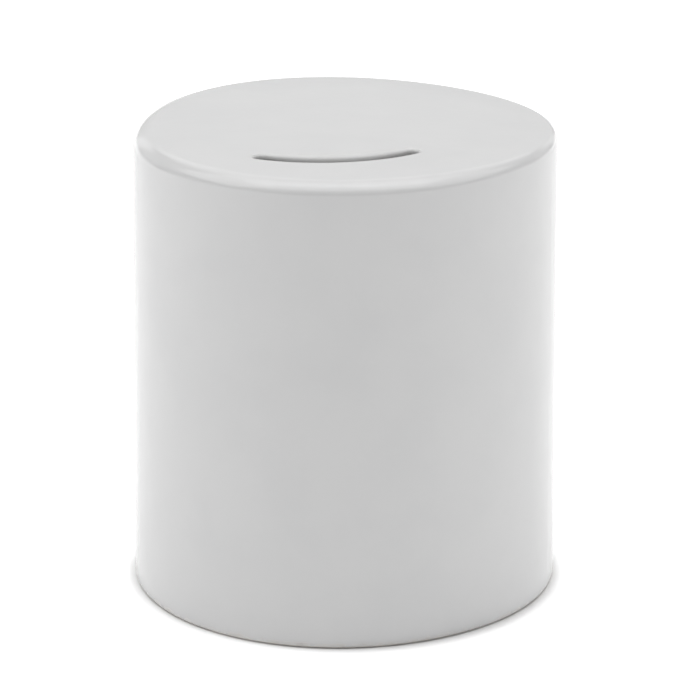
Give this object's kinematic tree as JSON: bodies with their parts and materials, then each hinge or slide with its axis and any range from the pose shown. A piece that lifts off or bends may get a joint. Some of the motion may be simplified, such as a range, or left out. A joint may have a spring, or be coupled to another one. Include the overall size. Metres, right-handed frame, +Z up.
{
  "type": "money box",
  "caption": "Round upright ceramic money box with a curved coin slot in its flat top and a soft pull-out stopper in its base.",
  "frame": {"origin": "on the body's axis, in the plane that the foot ring stands on", "axes": "+Z up along the body's axis; -Y is the front, where the coin slot is; +X runs along the slot's chord, to the right seen from the front"},
  "size_m": [0.0848, 0.0848, 0.0934],
  "materials": {
    "satin_glaze": "neutral white satin glaze, bare at the foot ring",
    "soft_stopper": "soft moulded vinyl, milky off-white, matt"
  },
  "bodies": {
    "body": {"ceramic_body": "satin_glaze"},
    "stopper": {"base_stopper": "soft_stopper"}
  },
  "joints": [
    {"name": "stopper_pull", "type": "slide", "parent": "body", "child": "stopper", "axis": [0, 0, -1], "range_m": [0, 0.03]}
  ]
}
